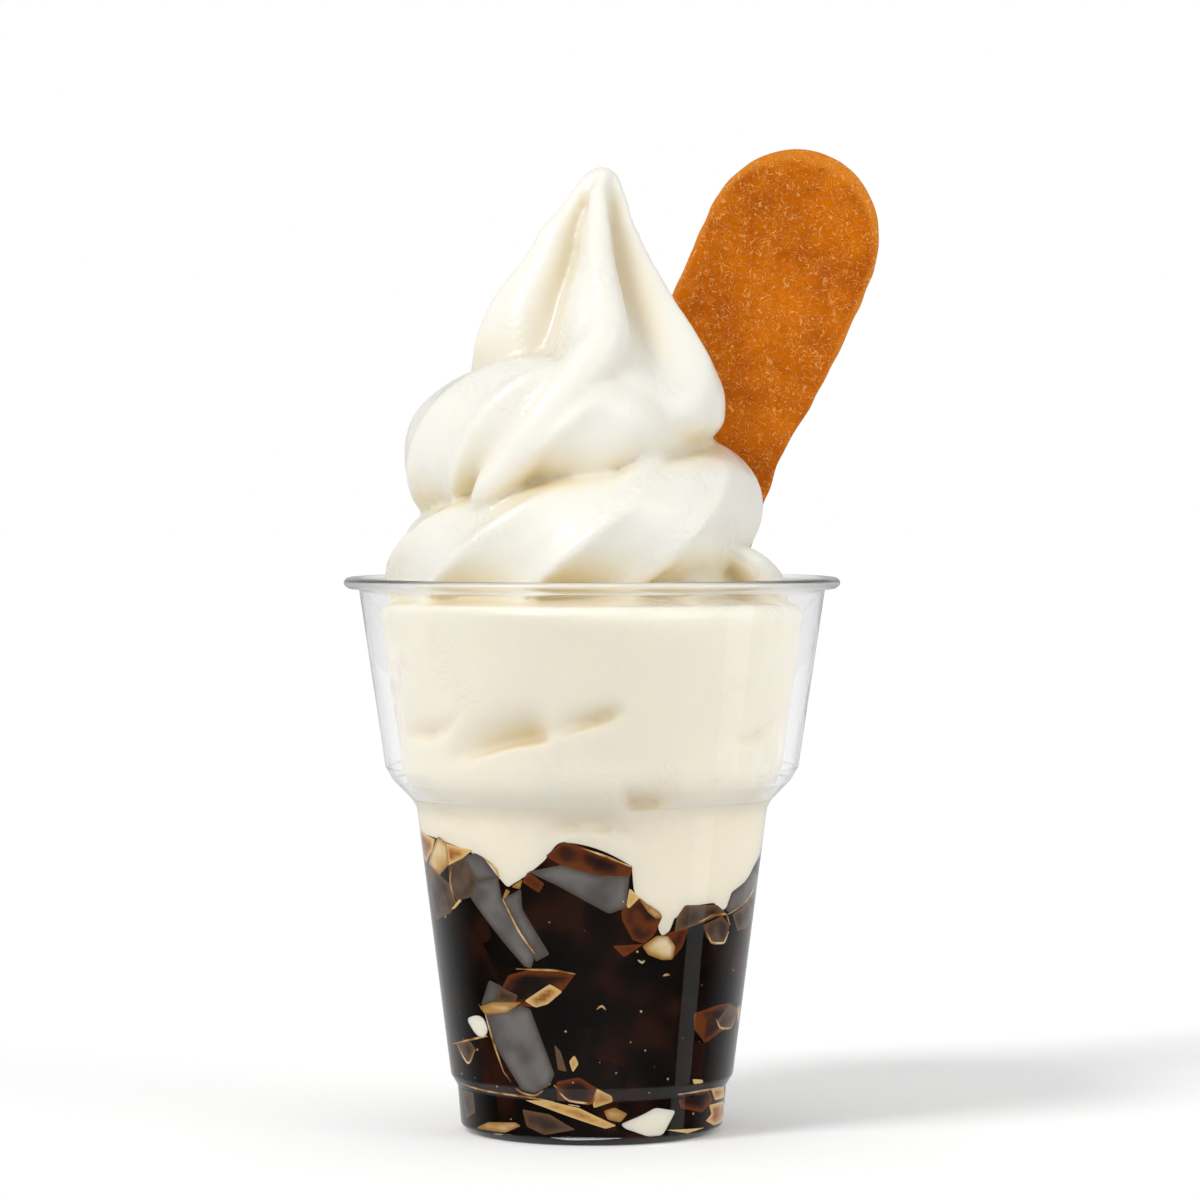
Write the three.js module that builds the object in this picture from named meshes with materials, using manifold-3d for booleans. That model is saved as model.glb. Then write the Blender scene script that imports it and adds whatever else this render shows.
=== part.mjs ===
// Coffee jelly soft serve: a clear stepped cup with cubes of coffee jelly below, a fill and
// swirl of soft serve above them, and a flat oblong biscuit pushed into the back of the swirl.
// Millimetres, +Z up. The origin is the middle of the cup's flat foot; the shown side faces -Y.
import * as THREE from "three";
import Module from "manifold-3d";
import { mergeVertices } from "three/addons/utils/BufferGeometryUtils.js";

const wasm = await Module();
wasm.setup();

// Driving sizes of the cup: a drinking cup 95 mm across its rolled lip.
const LIP_RADIUS = 47.5;
const CUP_HEIGHT = 106;
const WALL = 0.7;
const FLOOR = 1.0;
const FOOT_RADIUS = 23.8;
const CUP_SEGMENTS = 48;
const CONTENT_SEGMENTS = 32;
const CORE_SEGMENTS = 16;

// Outside of the wall from the foot up, as [radius, height].
const WALL_OUTSIDE = [
  [25.2, 1.4],
  [25.8, 8.7],
  [27.1, 10.9],
  [33.6, 62.0],
  [34.5, 63.6],
  [38.2, 67.4],
  [39.6, 69.9],
  [44.6, 103.6],
];
const LIP_DROP = 1.4;
const LIP_THICKNESS = 1.0;

// Space kept between neighbours that touch in the real dessert.
const CLEARANCE = 0.35;

// Jelly cubes lie in rings against the wall, over a core that fills the middle.
const CUBE = 17.5;
const CUBE_EDGE = 2.2;
const CUBE_SIZE_SPREAD = 0.16;
const CUBE_HEIGHT_SPREAD = 1.2;
const CUBE_TURN_SPREAD = 0.5;
const CUBE_ROLL_SPREAD = 0.2;
const CUBE_PRESS = 1.6;
const FOOT_STEP_TOP = 12.0;
const RING_PITCH = 12.4;
const RING_COUNTS = [6, 7, 7, 8];
const RING_SLACK = 0.3;
const HEAP_SEED = 7;
const CORE_INSET = 5.0;
const CORE_TOP = 46.0;
const JELLY_TOP = 58.0;
// Height of the top ring round the cup: high at the left, low just right of the front.
const TOP_RING_DIP = 10.0;
const TOP_RING_DIP_ANGLE = -0.96;
const TOP_RING_DIP_WIDTH = 0.5;

// Soft serve inside the cup: it meets the wall up to the shoulder, then stands clear of it.
const FILL_BOTTOM = 41.0;
const FILL_MEETS_WALL_TO = 63.6;
const FILL_ABOVE_SHOULDER = [
  [35.3, 66.6],
  [36.5, 70.0],
  [36.8, 73.0],
  [40.3, 97.5],
  [40.5, 99.6],
  [39.6, 101.4],
  [30.0, 103.5],
  [0.0, 104.5],
];

// The piped rope winds up from the fill, counter-clockwise seen from above. reach is the
// radius of its path, wide and tall are its own half sizes, twist turns its ridges.
const ROPE = [
  { turn: -90, reach: 27.0, height: 93.0, wide: 8.0, tall: 8.0, shift: -1.5, twist: -140 },
  { turn: 0, reach: 23.8, height: 100.5, wide: 14.2, tall: 12.0, shift: -1.5, twist: 0 },
  { turn: 180, reach: 24.0, height: 107.0, wide: 13.8, tall: 12.5, shift: -1.5, twist: 290 },
  { turn: 360, reach: 22.0, height: 119.5, wide: 12.8, tall: 11.8, shift: -1.5, twist: 590 },
  { turn: 450, reach: 21.5, height: 124.0, wide: 13.2, tall: 13.0, shift: -1.5, twist: 770 },
  { turn: 540, reach: 21.7, height: 130.0, wide: 13.6, tall: 14.2, shift: -1.5, twist: 980 },
  { turn: 610, reach: 18.5, height: 134.5, wide: 13.0, tall: 13.5, shift: -1.5, twist: 1150 },
  { turn: 670, reach: 13.0, height: 137.0, wide: 12.0, tall: 11.5, shift: -1.0, twist: 1290 },
  { turn: 720, reach: 8.0, height: 140.0, wide: 11.0, tall: 10.0, shift: 0.0, twist: 1410 },
];
const ROPE_STEP = 10;
const ROPE_PIECE = 90;
const ROPE_RIDGES = 5;
const ROPE_RIDGE_POINTS = 5;
const ROPE_TANGENT_STEP = 0.5;
const RIDGE_SHARPNESS = 1.25;
// Ridge depth as a share of the rope's size, and how unevenly it runs round and along the rope.
const ROPE_RIDGE_DEPTH = 0.22;
const ROPE_RIDGE_SWELL = 0.3;
const ROPE_RIDGE_UNEVEN = 0.32;
const ROPE_UNEVEN_START = 0.9;
const ROPE_UNEVEN_DRIFT = 0.8;
const ROPE_RIDGE_LEAN = 0.45;
const ROPE_RIDGE_START = -14;
// The ridges are pressed flat on the rope's upper side, where the next turn lies.
const ROPE_PRESSED_FROM = 0.35;
const ROPE_PRESSED_TO = 0.95;
const ROPE_HUB = 1.5;
// The middle of the swirl, which the rope's turns close round.
const HEART = [
  [0, 100],
  [23, 100],
  [22, 124],
  [18, 136],
  [0, 138],
];

// The pulled peak on top: half width, sideways shift of its axis, turn of its ridges and
// their depth as a share of the half width, over its height.
const PEAK = [
  { height: 127.0, half: 17.0, shift: 1.5, twist: -118, ridge: 0.1 },
  { height: 131.0, half: 21.5, shift: 1.5, twist: -105, ridge: 0.1 },
  { height: 136.0, half: 23.6, shift: 1.4, twist: -84, ridge: 0.1 },
  { height: 141.0, half: 24.2, shift: 1.2, twist: -60, ridge: 0.11 },
  { height: 147.0, half: 22.8, shift: 0.4, twist: -32, ridge: 0.13 },
  { height: 152.0, half: 21.2, shift: -0.8, twist: -14, ridge: 0.18 },
  { height: 160.0, half: 17.2, shift: -1.5, twist: -4, ridge: 0.25 },
  { height: 167.0, half: 12.8, shift: -0.8, twist: -1, ridge: 0.28 },
  { height: 175.0, half: 8.8, shift: 0.5, twist: 0, ridge: 0.28 },
  { height: 180.0, half: 6.3, shift: 1.4, twist: 0, ridge: 0.25 },
  { height: 183.0, half: 4.0, shift: 2.1, twist: 0, ridge: 0.18 },
  { height: 184.4, half: 1.2, shift: 2.4, twist: 0, ridge: 0.0 },
];
const PEAK_STEP = 2.2;
const PEAK_RIDGES = 5;
const PEAK_RIDGE_POINTS = 6;
const PEAK_RIDGE_SWELL = 0.03;
const PEAK_RIDGE_LEAN = -0.45;
const PEAK_RIDGE_START = -84;

// The biscuit: an oblong with round ends and a slight waist, leaning right and back.
const BISCUIT_LENGTH = 96;
const BISCUIT_HALF_WIDTH = 17.3;
const BISCUIT_THICKNESS = 3.5;
const BISCUIT_END = 19.4;
const BISCUIT_EDGE = 1.1;
const BISCUIT_WAIST = 0.12;
const BISCUIT_WAIST_AT = -12;
const BISCUIT_WAIST_SPAN = 14;
const BISCUIT_SIDE_POINTS = 22;
const BISCUIT_TILT = 24;
const BISCUIT_LEAN = 7;
const BISCUIT_CENTRE = [27.4, 23.8, 144.7];

// Points nearer to each other than this are one vertex.
const MERGE_DISTANCE = 1e-4;

// A closed geometry's shared vertices and its triangles, turned to face outwards.
function closedTriangles(geometry) {
  geometry.deleteAttribute("normal");
  geometry.deleteAttribute("uv");
  const merged = mergeVertices(geometry, MERGE_DISTANCE);
  const vertices = new Float32Array(merged.getAttribute("position").array);
  const index = merged.getIndex().array;
  const triangles = [];
  for (let i = 0; i < index.length; i += 3) {
    const [a, b, c] = [index[i], index[i + 1], index[i + 2]];
    if (a !== b && b !== c && c !== a) {
      triangles.push(a, b, c);
    }
  }
  const corner = (i) => new THREE.Vector3().fromArray(vertices, 3 * i);
  let volume = 0;
  for (let i = 0; i < triangles.length; i += 3) {
    const [a, b, c] = triangles.slice(i, i + 3).map(corner);
    volume += a.dot(b.cross(c)) / 6;
  }
  if (volume < 0) {
    triangles.reverse();
  }
  return { vertices, triangles: new Uint32Array(triangles) };
}

function solidOf(geometry) {
  const { vertices, triangles } = closedTriangles(geometry);
  const mesh = new wasm.Mesh({ numProp: 3, vertProperties: vertices, triVerts: triangles });
  return new wasm.Manifold(mesh);
}

function geometryOf(solid) {
  const { vertProperties, triVerts } = solid.getMesh();
  const geometry = new THREE.BufferGeometry();
  geometry.setAttribute("position", new THREE.BufferAttribute(vertProperties, 3));
  geometry.setIndex(new THREE.BufferAttribute(triVerts, 1));
  geometry.computeVertexNormals();
  return geometry;
}

// The main body of a solid: scraps are dropped and hollows that fusing sealed are filled.
function mainBody(solid) {
  const bodies = solid.decompose();
  return bodies.reduce((best, body) => (body.volume() > best.volume() ? body : best));
}

function lathe(profile, segments) {
  const points = profile.map(([radius, height]) => new THREE.Vector2(radius, height));
  return new THREE.LatheGeometry(points, segments).rotateX(Math.PI / 2);
}

// A closed skin over rings of points, its two ends closed round their middles.
function loft(rings) {
  const count = rings[0].length;
  const positions = [];
  const index = [];
  rings.forEach((ring) => ring.forEach((point) => positions.push(...point.toArray())));
  for (let k = 0; k + 1 < rings.length; k += 1) {
    for (let i = 0; i < count; i += 1) {
      const next = (i + 1) % count;
      const [a, b] = [k * count + i, k * count + next];
      index.push(a, b, a + count, b, b + count, a + count);
    }
  }
  [0, rings.length - 1].forEach((k, end) => {
    const middle = rings[k].reduce((sum, point) => sum.add(point), new THREE.Vector3());
    const hub = positions.length / 3;
    positions.push(...middle.divideScalar(count).toArray());
    for (let i = 0; i < count; i += 1) {
      const [a, b] = [k * count + i, k * count + ((i + 1) % count)];
      index.push(...(end === 0 ? [hub, b, a] : [hub, a, b]));
    }
  });
  const geometry = new THREE.BufferGeometry();
  geometry.setAttribute("position", new THREE.Float32BufferAttribute(positions, 3));
  geometry.setIndex(index);
  return geometry;
}

// A value read between stations along a smooth curve that never overshoots them.
function smoothAt(stations, key, value, at) {
  const last = stations.length - 2;
  const slope = (i) =>
    (stations[i + 1][value] - stations[i][value]) / (stations[i + 1][key] - stations[i][key]);
  const tangent = (i) => {
    if (i === 0 || i > last) {
      return slope(Math.min(i, last));
    }
    const [before, after] = [slope(i - 1), slope(i)];
    return before * after > 0 ? (2 * before * after) / (before + after) : 0;
  };
  let i = 0;
  while (i < last && at > stations[i + 1][key]) {
    i += 1;
  }
  const span = stations[i + 1][key] - stations[i][key];
  const t = (at - stations[i][key]) / span;
  return (
    (1 + 2 * t) * (1 - t) ** 2 * stations[i][value] +
    t * (1 - t) ** 2 * span * tangent(i) +
    t * t * (3 - 2 * t) * stations[i + 1][value] +
    t * t * (t - 1) * span * tangent(i + 1)
  );
}

// 1 on a ridge's crest and 0 in the groove beside it; lean pushes the crest to one side.
function crest(phase, lean) {
  const leaned = phase + lean * Math.sin(phase);
  return 1 - Math.abs(Math.sin(leaned / 2)) ** RIDGE_SHARPNESS;
}

const radians = THREE.MathUtils.degToRad;
const smoothstep = THREE.MathUtils.smoothstep;

// The cup's wall on the inside, from the floor up, and a solid that fills it to a height.
const wallInside = [
  [FOOT_RADIUS - WALL, FLOOR],
  ...WALL_OUTSIDE.map(([radius, height]) => [radius - WALL, Math.max(height, FLOOR + WALL)]),
];

function insideRadius(height) {
  let i = 0;
  while (i < wallInside.length - 2 && height > wallInside[i + 1][1]) {
    i += 1;
  }
  const [[r0, z0], [r1, z1]] = [wallInside[i], wallInside[i + 1]];
  return r0 + ((r1 - r0) * (height - z0)) / (z1 - z0);
}

function cupGeometry() {
  const lipRound = LIP_THICKNESS / 2;
  const [wallRadius] = WALL_OUTSIDE.at(-1);
  const outside = [
    [0, 0],
    [FOOT_RADIUS, 0],
    ...WALL_OUTSIDE,
    [wallRadius + WALL, CUP_HEIGHT - LIP_DROP],
    [LIP_RADIUS - lipRound, CUP_HEIGHT - LIP_THICKNESS],
    [LIP_RADIUS, CUP_HEIGHT - lipRound],
    [LIP_RADIUS - lipRound, CUP_HEIGHT],
    [wallRadius, CUP_HEIGHT],
  ];
  const inside = [...wallInside].reverse();
  return lathe([...outside, ...inside, [0, FLOOR]], CUP_SEGMENTS);
}

function cavity(bottom, top) {
  const rising = wallInside.filter(([, height]) => height > bottom && height < top);
  const edge = [[insideRadius(bottom), bottom], ...rising, [insideRadius(top), top]];
  const profile = edge.map(([radius, height]) => [radius - CLEARANCE, height]);
  return [[0, bottom], ...profile, [0, top]];
}

// The same even draw of numbers from 0 to 1 each time, so the heap always falls alike.
function seededDraw(seed) {
  const [factor, step, range] = [1664525, 1013904223, 2 ** 32];
  let state = seed;
  return () => {
    state = (state * factor + step) % range;
    return state / range;
  };
}

// A block with all its edges cut off flat, standing on the middle of its own size.
function cutCube([width, depth, height], edge) {
  const [x, y] = [width / 2 - edge, depth / 2 - edge];
  const corners = [[x, -y], [x, y], [-x, y], [-x, -y]];
  const outline = corners.flatMap(([cx, cy], i) => {
    const [ex, ey] = [edge * Math.sign(cx), edge * Math.sign(cy)];
    const pair = [new THREE.Vector2(cx + ex, cy), new THREE.Vector2(cx, cy + ey)];
    return i % 2 === 0 ? pair.reverse() : pair;
  });
  const block = new THREE.ExtrudeGeometry(new THREE.Shape(outline), {
    depth: height - 2 * edge,
    bevelThickness: edge,
    bevelSize: edge,
    bevelOffset: -edge,
    bevelSegments: 1,
  });
  return block.translate(0, 0, edge - height / 2);
}

// One cube for each place in the rings, larger all round by grow.
function jellyCubes(grow) {
  const draw = seededDraw(HEAP_SEED);
  const spread = (amount) => amount * (2 * draw() - 1);
  const cubes = [];
  RING_COUNTS.forEach((count, ring) => {
    const top = ring === RING_COUNTS.length - 1;
    const stagger = 0.5 * (ring % 2);
    for (let i = 0; i < count; i += 1) {
      const around = (2 * Math.PI * (i + stagger + RING_SLACK * draw())) / count;
      const offset = Math.atan2(
        Math.sin(around - TOP_RING_DIP_ANGLE),
        Math.cos(around - TOP_RING_DIP_ANGLE),
      );
      const dip = top ? TOP_RING_DIP * Math.exp(-((offset / TOP_RING_DIP_WIDTH) ** 2)) : 0;
      const level = FLOOR + CLEARANCE + CUBE / 2 + ring * RING_PITCH;
      const height = level + spread(CUBE_HEIGHT_SPREAD) - dip;
      const size = [0, 1, 2].map(() => CUBE * (1 + spread(CUBE_SIZE_SPREAD)) + 2 * grow);
      const cube = cutCube(size, CUBE_EDGE + grow);
      cube.rotateX(spread(CUBE_TURN_SPREAD)).rotateY(spread(CUBE_ROLL_SPREAD));
      const reach = insideRadius(Math.max(height, FOOT_STEP_TOP)) + CUBE_PRESS - CUBE / 2;
      cube.translate(reach, 0, height).rotateZ(around);
      cubes.push(solidOf(cube));
    }
  });
  return cubes;
}

function jellySolid(grow) {
  const bottom = FLOOR + CLEARANCE - grow;
  const top = CORE_TOP + grow;
  const [lower, upper] = [FOOT_STEP_TOP, CORE_TOP].map(
    (height) => insideRadius(height) - CORE_INSET + grow,
  );
  const core = lathe([[0, bottom], [lower, bottom], [upper, top], [0, top]], CORE_SEGMENTS);
  return jellyCubes(grow).reduce((heap, cube) => heap.add(cube), solidOf(core));
}

function coffeeJelly() {
  const space = solidOf(lathe(cavity(FLOOR + CLEARANCE, JELLY_TOP), CONTENT_SEGMENTS));
  return mainBody(jellySolid(0).intersect(space));
}

function ropeCentre(turn) {
  const reach = smoothAt(ROPE, "turn", "reach", turn);
  return new THREE.Vector3(
    smoothAt(ROPE, "turn", "shift", turn) + reach * Math.cos(radians(turn)),
    reach * Math.sin(radians(turn)),
    smoothAt(ROPE, "turn", "height", turn),
  );
}

// The rope's star section across its path; its inner half stops short of the swirl's axis.
function ropeSection(turn) {
  const ahead = ropeCentre(turn + ROPE_TANGENT_STEP);
  const along = ahead.sub(ropeCentre(turn - ROPE_TANGENT_STEP)).normalize();
  const out = new THREE.Vector3(Math.cos(radians(turn)), Math.sin(radians(turn)), 0);
  out.addScaledVector(along, -out.dot(along)).normalize();
  const up = out.clone().cross(along);
  const centre = ropeCentre(turn);
  const twist = radians(ROPE_RIDGE_START + smoothAt(ROPE, "turn", "twist", turn));
  const [reach, wide, tall] = ["reach", "wide", "tall"].map((value) =>
    smoothAt(ROPE, "turn", value, turn),
  );
  const count = ROPE_RIDGES * ROPE_RIDGE_POINTS;
  return Array.from({ length: count }, (_, i) => {
    const around = (2 * Math.PI * i) / count;
    const angle = around + twist;
    const drift = around + ROPE_UNEVEN_START + ROPE_UNEVEN_DRIFT * radians(turn);
    const uneven = 1 - ROPE_RIDGE_UNEVEN * (1 - Math.sin(drift));
    const pressed = smoothstep(Math.sin(angle), ROPE_PRESSED_FROM, ROPE_PRESSED_TO);
    const depth = ROPE_RIDGE_DEPTH * uneven * (1 - pressed);
    const groove = 1 - crest(ROPE_RIDGES * around, ROPE_RIDGE_LEAN);
    const size = 1 + depth * (ROPE_RIDGE_SWELL - groove);
    const across = Math.cos(angle) > 0 ? wide : Math.min(wide, reach - ROPE_HUB);
    return centre
      .clone()
      .addScaledVector(out, size * across * Math.cos(angle))
      .addScaledVector(up, size * tall * Math.sin(angle));
  });
}

function ropePieces() {
  const pieces = [];
  for (let start = ROPE[0].turn; start < ROPE.at(-1).turn; start += ROPE_PIECE) {
    const rings = [];
    for (let turn = start; turn <= start + ROPE_PIECE; turn += ROPE_STEP) {
      rings.push(ropeSection(turn));
    }
    pieces.push(solidOf(loft(rings)));
  }
  return pieces;
}

function peakSection(height) {
  const [half, shift, twist, ridge] = ["half", "shift", "twist", "ridge"].map((value) =>
    smoothAt(PEAK, "height", value, height),
  );
  const count = PEAK_RIDGES * PEAK_RIDGE_POINTS;
  return Array.from({ length: count }, (_, i) => {
    const around = (2 * Math.PI * i) / count;
    const angle = around + radians(PEAK_RIDGE_START + twist);
    const groove = 1 - crest(PEAK_RIDGES * around, PEAK_RIDGE_LEAN);
    const radius = half * (1 + PEAK_RIDGE_SWELL - ridge * groove);
    return new THREE.Vector3(shift + radius * Math.cos(angle), radius * Math.sin(angle), height);
  });
}

function peakSolid() {
  const [low, high] = [PEAK[0].height, PEAK.at(-1).height];
  const steps = Math.ceil((high - low) / PEAK_STEP);
  const rings = Array.from({ length: steps + 1 }, (_, k) =>
    peakSection(low + ((high - low) * k) / steps),
  );
  return solidOf(loft(rings));
}

function fillSolid() {
  const meetsWall = cavity(FILL_BOTTOM, FILL_MEETS_WALL_TO).slice(0, -1);
  return solidOf(lathe([...meetsWall, ...FILL_ABOVE_SHOULDER], CONTENT_SEGMENTS));
}

function softServe(biscuitSlot) {
  const heart = solidOf(lathe(HEART, CORE_SEGMENTS));
  const pieces = [heart, ...ropePieces(), peakSolid()];
  const swirl = pieces.reduce((all, piece) => all.add(piece), fillSolid());
  return mainBody(mainBody(swirl).subtract(jellySolid(CLEARANCE)).subtract(biscuitSlot));
}

// Half width of the biscuit at a distance along it from its middle.
function biscuitHalfWidth(along) {
  const straight = BISCUIT_LENGTH / 2 - BISCUIT_END;
  const intoEnd = Math.max(0, Math.abs(along) - straight) / BISCUIT_END;
  const waist = Math.exp(-(((along - BISCUIT_WAIST_AT) / BISCUIT_WAIST_SPAN) ** 2));
  return BISCUIT_HALF_WIDTH * Math.sqrt(1 - Math.min(1, intoEnd ** 2)) * (1 - BISCUIT_WAIST * waist);
}

function biscuitGeometry(grow) {
  const half = BISCUIT_LENGTH / 2;
  const right = Array.from({ length: BISCUIT_SIDE_POINTS }, (_, i) => {
    const along = -half * Math.cos((Math.PI * (i + 0.5)) / BISCUIT_SIDE_POINTS);
    return new THREE.Vector2(biscuitHalfWidth(along), along);
  });
  const left = right.map(({ x, y }) => new THREE.Vector2(-x, y)).reverse();
  const thickness = BISCUIT_THICKNESS + 2 * grow;
  const edge = BISCUIT_EDGE + grow;
  const slab = new THREE.ExtrudeGeometry(new THREE.Shape([...right, ...left]), {
    depth: thickness - 2 * edge,
    bevelThickness: edge,
    bevelSize: edge,
    bevelOffset: grow - edge,
    bevelSegments: 2,
  });
  slab.translate(0, 0, edge - thickness / 2).rotateX(Math.PI / 2);
  const turn = new THREE.Euler(-radians(BISCUIT_LEAN), radians(BISCUIT_TILT), 0);
  const place = new THREE.Matrix4().makeRotationFromEuler(turn).setPosition(...BISCUIT_CENTRE);
  return slab.applyMatrix4(place);
}

function named(name, geometry, look) {
  const mesh = new THREE.Mesh(geometry, new THREE.MeshStandardMaterial(look));
  mesh.name = name;
  return mesh;
}

const dessert = new THREE.Group();
dessert.add(
  named("cup", geometryOf(solidOf(cupGeometry())), {
    color: "#eef2f1",
    roughness: 0.05,
    transparent: true,
    opacity: 0.35,
  }),
  named("coffee_jelly", geometryOf(coffeeJelly()), { color: "#1c110b", roughness: 0.15 }),
  named("soft_serve", geometryOf(softServe(solidOf(biscuitGeometry(CLEARANCE)))), {
    color: "#f5eedd",
    roughness: 0.4,
  }),
  named("biscuit", geometryOf(solidOf(biscuitGeometry(0))), { color: "#b9651d", roughness: 0.45 }),
);

export default dessert;
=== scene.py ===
import math

import bmesh
import bpy
from mathutils import Euler, Matrix, Vector, noise


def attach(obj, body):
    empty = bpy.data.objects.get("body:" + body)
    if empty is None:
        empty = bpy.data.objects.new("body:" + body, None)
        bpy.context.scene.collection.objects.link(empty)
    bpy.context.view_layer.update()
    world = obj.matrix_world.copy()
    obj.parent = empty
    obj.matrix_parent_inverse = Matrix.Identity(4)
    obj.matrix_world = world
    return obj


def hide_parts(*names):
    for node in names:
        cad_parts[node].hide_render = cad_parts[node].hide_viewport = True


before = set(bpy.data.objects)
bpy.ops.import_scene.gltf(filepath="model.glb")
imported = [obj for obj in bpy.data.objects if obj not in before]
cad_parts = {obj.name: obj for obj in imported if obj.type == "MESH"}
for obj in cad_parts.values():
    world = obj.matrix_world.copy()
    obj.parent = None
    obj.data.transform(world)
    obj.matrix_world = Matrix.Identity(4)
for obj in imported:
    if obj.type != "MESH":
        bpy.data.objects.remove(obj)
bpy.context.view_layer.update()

# The cup: clear PET sheet, thermoformed in one draw, so one even wall runs from the flat foot with
# its small step, over the shoulder that cups nest on, to the lip that is rolled outwards.
MM = 0.001
MERGE = 0.00001
CUP_WALL = 0.7
CUP_FLOOR = 1.0
CUP_FOOT_RADIUS = 23.8
CUP_OUTSIDE = [
    (25.2, 1.4),
    (25.8, 8.7),
    (27.1, 10.9),
    (33.6, 62.0),
    (34.5, 63.6),
    (38.2, 67.4),
    (39.6, 69.9),
    (44.6, 103.6),
]
CUP_LIP = [(45.1, 103.9), (46.7, 103.9), (47.5, 104.6), (47.5, 105.4), (46.8, 106.0), (44.9, 106.0)]
CUP_ROUNDING = 0.9
CUP_STEPS = 160

cup_inside = [(CUP_FOOT_RADIUS - CUP_WALL, CUP_FLOOR)]
for radius, height in CUP_OUTSIDE:
    cup_inside.append((radius - CUP_WALL, max(height, CUP_FLOOR + CUP_WALL)))


def inside_radius(height):
    """The radius of the cup's inner wall at a height."""
    for (r0, z0), (r1, z1) in zip(cup_inside, cup_inside[1:]):
        if height <= z1:
            break
    return r0 + (r1 - r0) * (max(height, CUP_FLOOR) - z0) / (z1 - z0)


def spun(profile, steps, rounding=0.0):
    """A bmesh of a profile of radii and heights, its corners rounded, turned once round the axis."""
    shape = bmesh.new()
    points = [shape.verts.new((radius * MM, 0, height * MM)) for radius, height in profile]
    for pair in zip(points, points[1:]):
        shape.edges.new(pair)
    if rounding:
        bmesh.ops.bevel(
            shape, geom=points[1:-1], offset=rounding * MM, offset_type="OFFSET", segments=4,
            profile=0.5, affect="VERTICES", clamp_overlap=True, material=-1,
        )
    turned = list(shape.verts) + list(shape.edges)
    bmesh.ops.spin(
        shape, geom=turned, cent=(0, 0, 0), axis=(0, 0, 1), angle=math.tau, steps=steps, use_merge=True
    )
    bmesh.ops.remove_doubles(shape, verts=shape.verts, dist=MERGE)
    bmesh.ops.recalc_face_normals(shape, faces=shape.faces)
    return shape


def piece_of(shape, name, material):
    """Turns a finished bmesh into a smooth-shaded object that rides with the dessert."""
    mesh = bpy.data.meshes.new(name)
    shape.to_mesh(mesh)
    shape.free()
    mesh.shade_smooth()
    mesh.materials.append(material)
    piece = bpy.data.objects.new(name, mesh)
    bpy.context.scene.collection.objects.link(piece)
    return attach(piece, "root")


def linear(colour):
    """An sRGB hex colour as linear red, green, blue and alpha."""
    shares = [int(colour[i:i + 2], 16) / 255 for i in (1, 3, 5)]
    return (*(s / 12.92 if s <= 0.04045 else ((s + 0.055) / 1.055) ** 2.4 for s in shares), 1.0)


def finish(name, sockets):
    """A new material of one Principled shader with its even values set."""
    material = bpy.data.materials.new(name)
    material.use_nodes = True
    shader = material.node_tree.nodes["Principled BSDF"]
    for socket, value in sockets.items():
        shader.inputs[socket].default_value = value
    return material, material.node_tree, shader


def add(tree, kind, inputs, **settings):
    """Adds a node with its own settings; each input is a value, or an output that it is linked to."""
    made = tree.nodes.new(kind)
    for name, value in settings.items():
        setattr(made, name, value)
    for socket, value in inputs.items():
        if isinstance(value, bpy.types.NodeSocket):
            tree.links.new(value, made.inputs[socket])
        else:
            made.inputs[socket].default_value = value
    return made


# Thermoformed PET is clear and glossy, with a faint waviness from the draw and a haze on the rolled
# lip, so the wall all but vanishes and the lip shows as a pale ring.
PET_WAVE_MM = 9.0
LIP_HAZE_FROM = 103.2
LIP_HAZE_TO = 104.2
clear_pet, tree, shader = finish("clear_pet_thermoformed", {
    "Base Color": linear("#ffffff"),
    "IOR": 1.48,
    "Transmission Weight": 1.0,
})
place = add(tree, "ShaderNodeTexCoord", {})
wave = add(tree, "ShaderNodeTexNoise", {
    "Vector": place.outputs["Object"], "Scale": 1 / (PET_WAVE_MM * MM), "Detail": 1.0,
})
waviness = add(tree, "ShaderNodeBump", {
    "Height": wave.outputs["Fac"], "Strength": 0.03, "Distance": 1.0 * MM,
})
tree.links.new(waviness.outputs["Normal"], shader.inputs["Normal"])
level = add(tree, "ShaderNodeSeparateXYZ", {"Vector": place.outputs["Object"]})
haze = add(tree, "ShaderNodeMapRange", {
    "Value": level.outputs["Z"], "From Min": LIP_HAZE_FROM * MM, "From Max": LIP_HAZE_TO * MM,
    "To Min": 0.02, "To Max": 0.3,
})
tree.links.new(haze.outputs["Result"], shader.inputs["Roughness"])

cup_profile = [(0, 0), (CUP_FOOT_RADIUS, 0), *CUP_OUTSIDE, *CUP_LIP, *reversed(cup_inside)]
cup_profile.append((0, CUP_FLOOR))
cup = piece_of(spun(cup_profile, CUP_STEPS, CUP_ROUNDING), "clear_cup", clear_pet)
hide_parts("cup")

# The coffee jelly: strong coffee set with gelatine, cut into blocks with a knife and tipped into
# the cup. The blocks that show press on the wall, and the rest of the heap lies behind them.
BLOCK = 17.5
BLOCK_SIZE_SPREAD = 0.16
BLOCK_HEIGHT_SPREAD = 1.2
BLOCK_TURN_SPREAD = 0.5
BLOCK_ROLL_SPREAD = 0.2
BLOCK_PRESS = 1.6
BLOCK_EDGE = 1.3
BLOCK_GRID = 14
RING_PITCH = 12.4
RING_COUNTS = (6, 7, 7, 8)
RING_SLACK = 0.3
HEAP_SEED = 7
DRAW_FACTOR = 1664525
DRAW_STEP = 1013904223
DRAW_RANGE = 2 ** 32
HEAP_BOTTOM = 1.35
TOP_RING_DIP = 10.0
TOP_RING_DIP_ANGLE = -0.96
TOP_RING_DIP_WIDTH = 0.5
FOOT_STEP_TOP = 12.0
INTO_WALL = 0.13
BLOCK_NEST = 0.07
BLOCK_NEST_STRIDE = 11
UNDER_CREAM = -2.0
BLOCK_MOTTLE_MM = 11.0
MOTTLE_FROM = 0.34
MOTTLE_TO = 0.68
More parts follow.
